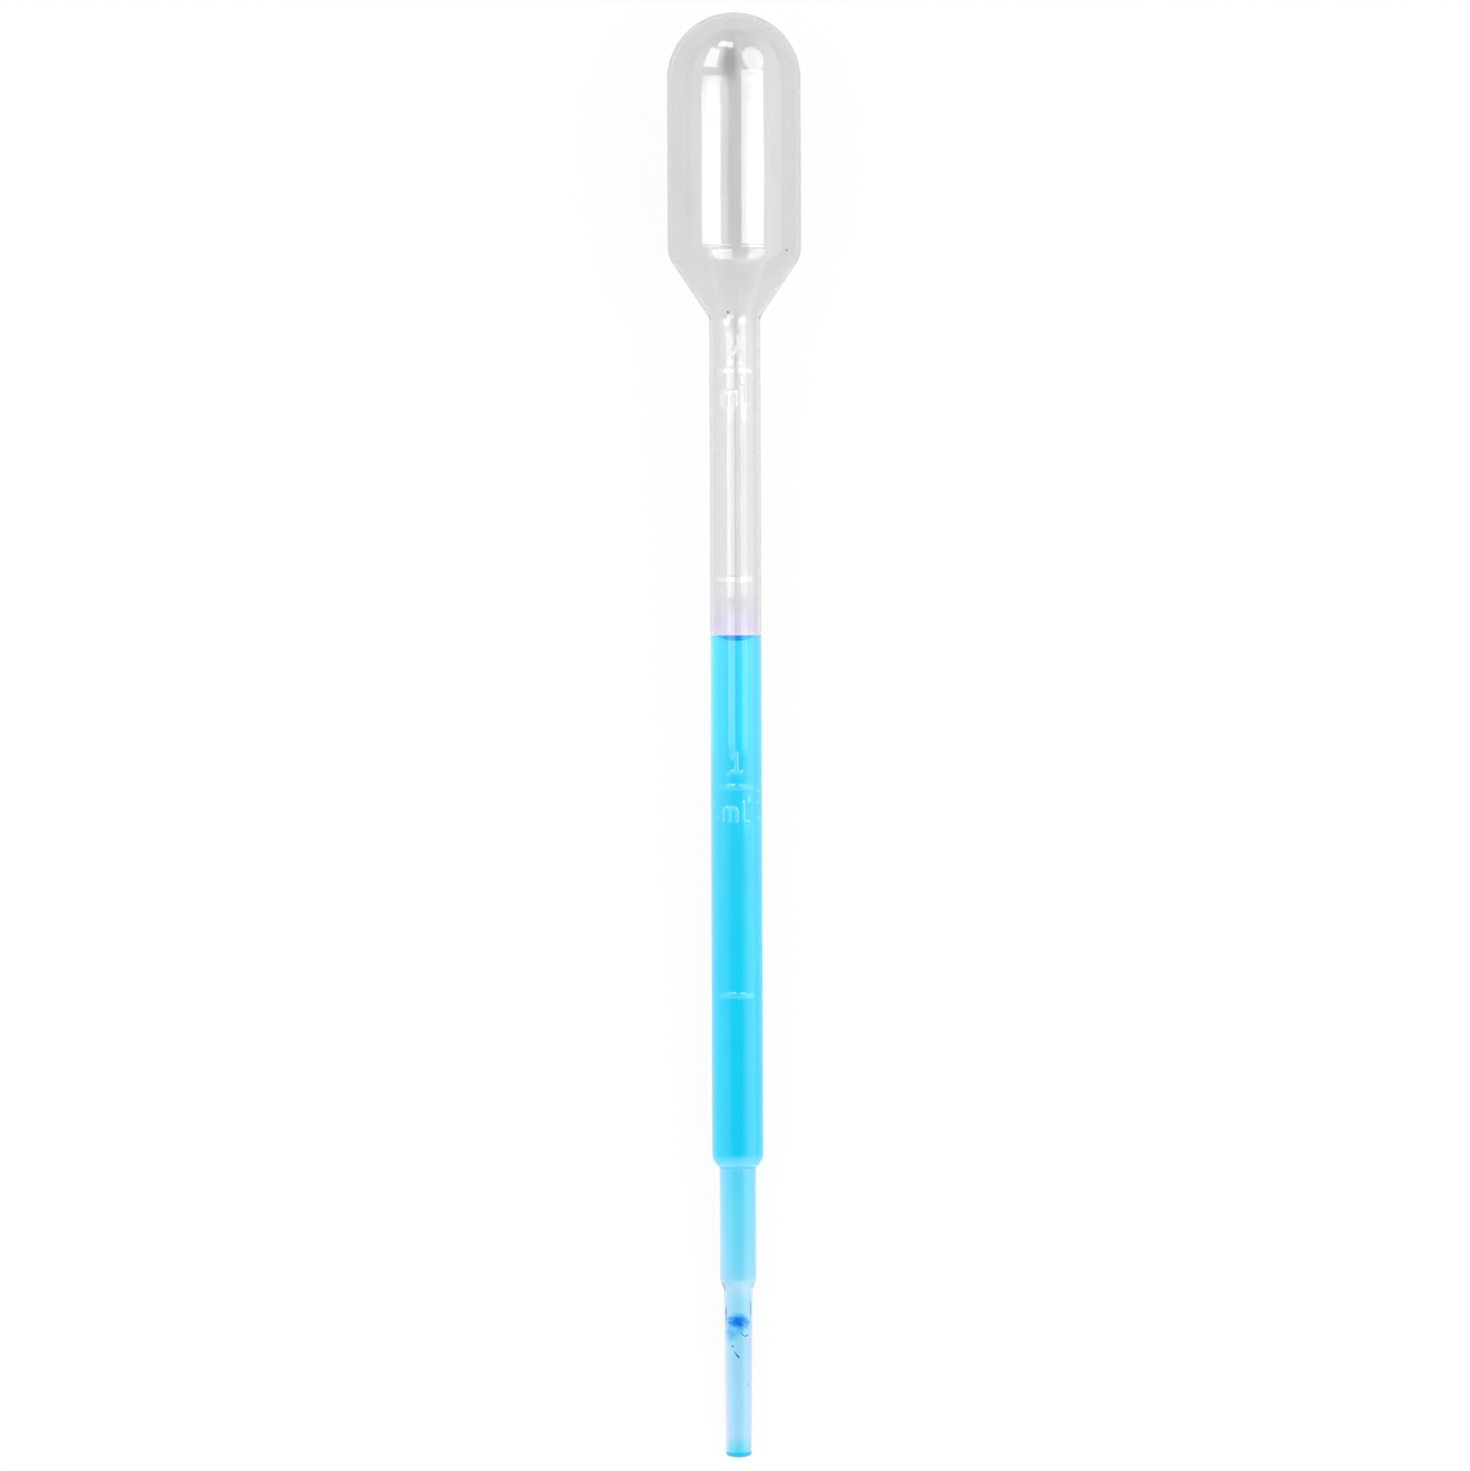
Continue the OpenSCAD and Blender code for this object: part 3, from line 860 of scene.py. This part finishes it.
def water():
    """Blue dyed water, with painted shade in the bowl of its top and a bluer tint on the drop.
    Where it wets the plastic its surface bends no light, because the plastic's own hollow side
    there has the step between the two of them. Nor does its top, so that the hollow of it stays in
    sight."""
    material, add, link, shader, output = new_material("blue_water")
    shader.inputs["Roughness"].default_value = 0.0
    shader.inputs["IOR"].default_value = WATER_IOR
    shader.inputs["Transmission Weight"].default_value = 1.0
    free = add("ShaderNodeAttribute", attribute_name="free_surface")
    step = add("ShaderNodeMapRange", To_Min=1.0, To_Max=WATER_IOR)
    link(free, "Fac", step, "Value")
    link(step, "Result", shader, "IOR")
    link(shade_and_tint_colour(add, link), MIXED, shader, "Base Color")
    cloud = dye_clouds(add, link)
    bluer = add("ShaderNodeMapRange", From_Max=FULL_CLOUD)
    link(cloud, "Value", bluer, "Value")
    shade = blend(add, link, (bluer, "Result"), DYE_COLOUR, CLOUD_COLOUR)
    dye = add("ShaderNodeVolumeAbsorption", Density=PLAIN_DENSITY)
    link(shade, MIXED, dye, "Color")
    link(dye_density(add, link, cloud), "Value", dye, "Density")
    link(dye, "Volume", output, "Volume")
    return material


def stain(name, colour, dark, clear):
    """Dye that has dried or settled: a mottled colour that lets some light through."""
    material, add, link, shader, _ = new_material(name)
    shader.inputs["Roughness"].default_value = 0.3
    shader.inputs["IOR"].default_value = 1.02
    shader.inputs["Transmission Weight"].default_value = clear
    place = add("ShaderNodeTexCoord")
    cloud = add("ShaderNodeTexNoise", Scale=STAIN_GRAIN, Detail=2.0)
    link(place, "Object", cloud, "Vector")
    tint = blend(add, link, (cloud, "Fac"), (*colour, 1), (*dark, 1))
    link(tint, MIXED, shader, "Base Color")
    return material


# ---------------- residue and specks

def ball():
    """Points and faces of a ball of radius 1."""
    form = bmesh.new()
    bmesh.ops.create_icosphere(form, subdivisions=3, radius=1)
    points = np.array([v.co for v in form.verts])
    faces = [[v.index for v in face.verts] for face in form.faces]
    form.free()
    return points, faces


def lump(middle, half_sizes, uneven=0.5, seed=0, lean=0.0):
    """An uneven lump. It leans away from the tube's direction by an angle in degrees."""
    points, faces = ball()
    shift = Vector((3.7, 1.3, 2.9)) * (seed + 1)
    swell = np.array([1 + uneven * noise.noise(Vector(p) * 1.8 + shift) for p in points])
    x, t, z = (points * swell[:, None] * np.array(half_sizes)).T
    c, s = math.cos(math.radians(lean)), math.sin(math.radians(lean))
    return np.stack([c * x + s * t, c * t - s * x, z], -1) + np.array(middle), faces


def thread(line, widths, sides=10):
    """A thin thread along a line through points, with its half width at each of them."""
    line, widths = np.array(line, float), np.array(widths, float)
    stops = np.linspace(0, len(line) - 1, 6 * len(line))
    at = np.arange(len(line))
    path = np.stack([np.interp(stops, at, line[:, k]) for k in range(3)], -1)
    for _ in range(4):
        path[1:-1] = (path[:-2] + 2 * path[1:-1] + path[2:]) / 4
    width = np.interp(stops, at, widths)
    ahead = np.gradient(path, axis=0)
    ahead /= np.linalg.norm(ahead, axis=1, keepdims=True)
    side = np.cross(ahead, [0, 0, 1])
    side /= np.linalg.norm(side, axis=1, keepdims=True)
    over = np.cross(side, ahead)
    points = []
    for k in range(len(path)):
        for a in np.linspace(0, 2 * math.pi, sides, endpoint=False):
            points.append(path[k] + width[k] * (math.cos(a) * side[k] + math.sin(a) * over[k]))
    faces = [tuple(range(sides)), tuple(range(len(points) - 1, len(points) - 1 - sides, -1))]
    for k in range(len(path) - 1):
        for j in range(sides):
            n = (j + 1) % sides
            faces.append((k * sides + j, (k + 1) * sides + j, (k + 1) * sides + n, k * sides + n))
    return np.array(points), faces


def gather(name, parts, material):
    """Makes one piece from several sets of points and faces."""
    points, faces = [], []
    for more, sides in parts:
        faces += [[i + len(points) for i in face] for face in sides]
        points += list(more)
    piece = new_mesh(name, points, faces)
    piece.data.materials.append(material)
    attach(piece, "root")


CLOT_ROWS, CLOT_COLUMNS = (14.78, 14.44, 14.1), (-0.6, -0.3, 0.0, 0.3, 0.6)
CLOT_TAIL = ((0.68, 13.9, 0.1), (0.76, 13.68, 0.08))     # place across, along and size


def make_clot():
    """The clot of dye in the tip: grains in a ragged block whose lowest row is short, with a
    tail on one side."""
    dice = np.random.default_rng(11)
    grains = []
    for t in CLOT_ROWS:
        for x in CLOT_COLUMNS if t > CLOT_ROWS[-1] else CLOT_COLUMNS[1:-1]:
            sizes = dice.uniform(0.17, 0.21) * dice.uniform(0.8, 1.2, 3)
            middle = dice.uniform(-0.07, 0.07, 2) + (x, t)
            grains.append(lump((*middle, 0), sizes, 0.7, len(grains), dice.uniform(0, 180)))
    for k, (x, t, size) in enumerate(CLOT_TAIL):
        grains.append(lump((x, t, 0.15), (size, size * 1.3, size), 0.6, 40 + k))
    gather("dye_clot", grains,
           stain("settled_dye", (0.3, 0.9, 1.0), (0.05, 0.7, 0.97), 1.0))


def make_threads():
    """A curled thread under the clot and a short dash below it."""
    parts = [thread([(0.2, 13.3, 0.3), (0.42, 12.95, 0.3), (0.62, 12.82, 0.25), (0.78, 12.95, 0.2),
                     (0.84, 13.1, 0.15)], [0.015, 0.035, 0.05, 0.045, 0.02]),
             thread([(-0.36, 11.25, 0.2), (-0.24, 10.93, 0.2), (-0.1, 10.68, 0.2),
                     (0.08, 10.45, 0.2)], [0.01, 0.035, 0.07, 0.05])]
    gather("dye_threads", parts,
           stain("dye_thread", (0.09, 0.3, 0.62), (0.05, 0.18, 0.45), 0.3))


def make_streaks():
    """Two streaks of dye on the wall of the tip, beside the clot."""
    parts = [lump((-1.055, 15.35, 0.05), (0.045, 0.95, 0.16), 0.3, 3),
             lump((1.06, 15.85, 0.05), (0.035, 0.8, 0.14), 0.3, 8)]
    gather("dye_streaks", parts,
           stain("dye_on_wall", (0.3, 0.6, 0.92), (0.2, 0.46, 0.85), 0.8))


# Loose grains and dirt: place across, place along and size
LOOSE_GRAINS = ((-0.52, 11.76, 0.075), (0.86, 7.54, 0.05), (-0.5, 12.9, 0.05),
                (0.3, 5.1, 0.022), (-0.4, 8.9, 0.02))
DIRT = ((-0.76, 126.08, 0.1), (5.75, 132.85, 0.09), (0.4, 137.2, 0.05), (4.9, 141.0, 0.04))


def make_specks():
    """Loose grains of dye in the tip."""
    parts = [lump((x, t, 0.2), (1.2 * size, size, size), 0.6, 60 + k, 25)
             for k, (x, t, size) in enumerate(LOOSE_GRAINS)]
    gather("dye_specks", parts,
           stain("dye_grain", (0.14, 0.34, 0.6), (0.08, 0.22, 0.42), 0.4))


def make_dirt(outside):
    """Dark specks in the surface of the bulb and its neck."""
    radii, places = [p[0] for p in outside], [p[1] for p in outside]
    parts = []
    for k, (x, t, size) in enumerate(DIRT):
        radius = float(np.interp(t, places, radii)) - 0.02
        middle = (x, t, math.sqrt(radius**2 - x**2))
        parts.append(lump(middle, (size, 1.2 * size, size / 2), 0.4, 80 + k, 15 * k))
    gather("surface_specks", parts,
           stain("grey_dirt", (0.11, 0.1, 0.1), (0.05, 0.045, 0.045), 0.0))


# ---------------- studio

# How much of the floor's look is plain white to a ray
FLOOR_WHITES = (("Is Camera Ray", 0.93), ("Is Glossy Ray", 0.8), ("Is Transmission Ray", 1.0))
FLOOR_HALF, FLOOR_COLOUR = 1.5, (0.9, 0.9, 0.9, 1)
# The room's light: by how far a direction leans aside, and by how far it leans right
ROOM_LEAN, ROOM_LEVEL = (0.26, 0.9), (0.04, 1.15)
RIGHT_LEAN, RIGHT_LEVEL = (0.2, 0.8), (1.0, 2.1)
BULB_END_LEAN = 0.4     # how much a lean towards the bulb's end counts
BOUNCES = 24            # enough for light to get through the clot's overlapping grains

# Lamps that only reflections and seen-through places show: name, aim, distance, angles
# across, angles along, brightness and, if it isn't a rectangle, shape
GLOSS_LAMPS = (
    ("gloss_foot_left", BULB_START, 150, (-37, -4), (-20.1, -14), 2.2),
    ("gloss_low_left", BULB_START, 30, (-37, -4), (-51.3, -14), 2.2),
    ("gloss_left", BULB_START, 150, (-57, -23), (-1, 9.8), 3.6),
    ("gloss_high_left", BULB_END, 150, (-55, -30), (17, 50), 3.4),
    ("gloss_foot_right", BULB_START, 150, (25, 52), (-20.1, -14), 1.5),
    ("gloss_low_right", BULB_START, 30, (25, 52), (-51.3, -14), 1.5),
    ("gloss_right", BULB_START, 150, (12, 51), (-1, 20), 3.4),
    ("gloss_high_right", BULB_END, 150, (17, 58), (10, 51), 2.4, "ELLIPSE"),
    ("gloss_top", BULB_END, 150, (-42, -2), (54, 64.5), 5.0))


def make_floor():
    """Pale floor. To the camera and seen in the plastic it is white with the object's shadow on
    it; seen through the plastic it is plain white."""
    half, level = FLOOR_HALF, cad_box[0][2]
    mesh = bpy.data.meshes.new("floor")
    mesh.from_pydata([(-half, -half, level), (half, -half, level), (half, half, level),
                      (-half, half, level)], [], [(0, 1, 2, 3)])
    floor = bpy.data.objects.new("floor", mesh)
    bpy.context.scene.collection.objects.link(floor)
    material = bpy.data.materials.new("pale_floor")
    material.use_nodes = True
    material.node_tree.nodes.clear()
    add, link = node_tools(material)
    paint = add("ShaderNodeBsdfDiffuse", Color=FLOOR_COLOUR)
    glow = add("ShaderNodeEmission", Color=(1, 1, 1, 1), Strength=1.0)
    path = add("ShaderNodeLightPath")
    share = 0.0
    for ray, white in FLOOR_WHITES:
        share = (times_plus(add, link, (path, ray), white, share), "Value")
    mix = add("ShaderNodeMixShader")
    link(*share, mix, 0)
    link(paint, "BSDF", mix, 1)
    link(glow, "Emission", mix, 2)
    output = add("ShaderNodeOutputMaterial")
    link(mix, "Shader", output, "Surface")
    mesh.materials.append(material)


def make_lamp(name, aim, distance, across, along, radiance, shape="RECTANGLE", for_gloss=True):
    """A softbox at a distance from the tube. Seen from the place that it is aimed at, it
    stands between two angles across the tube and two along it."""
    data = bpy.data.lights.new(name, "AREA")
    data.shape = shape
    middle = math.radians(sum(across) / 2)
    data.size = 2 * distance * math.tan(math.radians((across[1] - across[0]) / 2)) * MM
    low, high = (distance * math.tan(math.radians(a)) for a in along)
    data.size_y = (high - low) * MM
    data.energy = 4 * radiance * data.size * data.size_y
    lamp = bpy.data.objects.new(name, data)
    bpy.context.scene.collection.objects.link(lamp)
    back = (TUBE @ Vector((math.sin(middle), 0, math.cos(middle)))).normalized()
    place = Matrix((ALONG.cross(back), ALONG, back)).transposed().to_4x4()
    place.translation = world_point(0, aim + (low + high) / 2, 0) + back * distance * MM
    lamp.matrix_world = place
    lamp.visible_camera = False
    lamp.visible_diffuse = not for_gloss
    lamp.visible_glossy = lamp.visible_transmission = for_gloss


def make_world():
    """Dim room: dark overhead and on towards the bulb's end, brighter at the sides and most
    on the right, and white to the camera."""
    world = bpy.data.worlds.new("room")
    bpy.context.scene.world = world
    world.use_nodes = True
    world.node_tree.nodes.clear()
    add, link = node_tools(world)
    place = add("ShaderNodeTexCoord")
    split = add("ShaderNodeSeparateXYZ")
    link(place, "Generated", split, "Vector")
    shortened = add("ShaderNodeMath", operation="MULTIPLY")
    link(split, "Y", shortened, 0)
    shortened.inputs[1].default_value = BULB_END_LEAN
    beyond = add("ShaderNodeMath", operation="MINIMUM")
    link(shortened, "Value", beyond, 0)
    link(split, "Y", beyond, 1)
    flat = add("ShaderNodeCombineXYZ")
    link(split, "X", flat, "X")
    link(beyond, "Value", flat, "Y")
    aside = add("ShaderNodeVectorMath", operation="LENGTH")
    link(flat, "Vector", aside, 0)
    level = add("ShaderNodeMapRange", interpolation_type="SMOOTHSTEP", From_Min=ROOM_LEAN[0],
                From_Max=ROOM_LEAN[1], To_Min=ROOM_LEVEL[0], To_Max=ROOM_LEVEL[1])
    link(aside, "Value", level, "Value")
    right = add("ShaderNodeMapRange", From_Min=RIGHT_LEAN[0], From_Max=RIGHT_LEAN[1],
                To_Min=RIGHT_LEVEL[0], To_Max=RIGHT_LEVEL[1])
    link(split, "X", right, "Value")
    strength = add("ShaderNodeMath", operation="MULTIPLY")
    link(level, "Result", strength, 0)
    link(right, "Result", strength, 1)
    room = add("ShaderNodeBackground")
    link(strength, "Value", room, "Strength")
    white = add("ShaderNodeBackground", Strength=1.0)
    path = add("ShaderNodeLightPath")
    mix = add("ShaderNodeMixShader")
    link(path, "Is Camera Ray", mix, 0)
    link(room, "Background", mix, 1)
    link(white, "Background", mix, 2)
    output = add("ShaderNodeOutputWorld")
    link(mix, "Shader", output, "Surface")


def make_camera():
    """Long lens straight over the tube, with the bulb at the top of the picture."""
    lens, sensor, picture_height = 300.0, 36.0, 162.82
    aim_along, aim_across, roll = 79.317, -0.139, 0.21
    data = bpy.data.cameras.new("camera")
    data.lens, data.sensor_width = lens, sensor
    camera = bpy.data.objects.new("camera", data)
    bpy.context.scene.collection.objects.link(camera)
    distance = picture_height * MM * lens / sensor
    place = Matrix((ACROSS, ALONG, FRONT)).transposed().to_4x4()
    place = place @ Matrix.Rotation(math.radians(-roll), 4, "Z")
    place.translation = world_point(aim_across, aim_along, 0) + FRONT * distance
    camera.matrix_world = place
    data.clip_start, data.clip_end = 0.01, 20.0
    bpy.context.scene.camera = camera


def make_studio():
    make_floor()
    make_world()
    for side, name in ((-1, "softbox_left"), (1, "softbox_right")):
        across = sorted((side * 17.0, side * 55.0))
        make_lamp(name, TOP / 2, 800, across, (-60, 60), 1.0, for_gloss=False)
    for lamp in GLOSS_LAMPS:
        make_lamp(*lamp)
    make_camera()
    scene = bpy.context.scene
    scene.view_settings.view_transform = "Standard"
    scene.cycles.max_bounces = scene.cycles.transmission_bounces = BOUNCES


ANGLES = turned_angles()
make_tube(ANGLES)
make_liquid(ANGLES)
make_clot()
make_threads()
make_streaks()
make_specks()
make_dirt(rounded(corners(0, 0, 0, 0)))
make_studio()
bpy.context.view_layer.update()
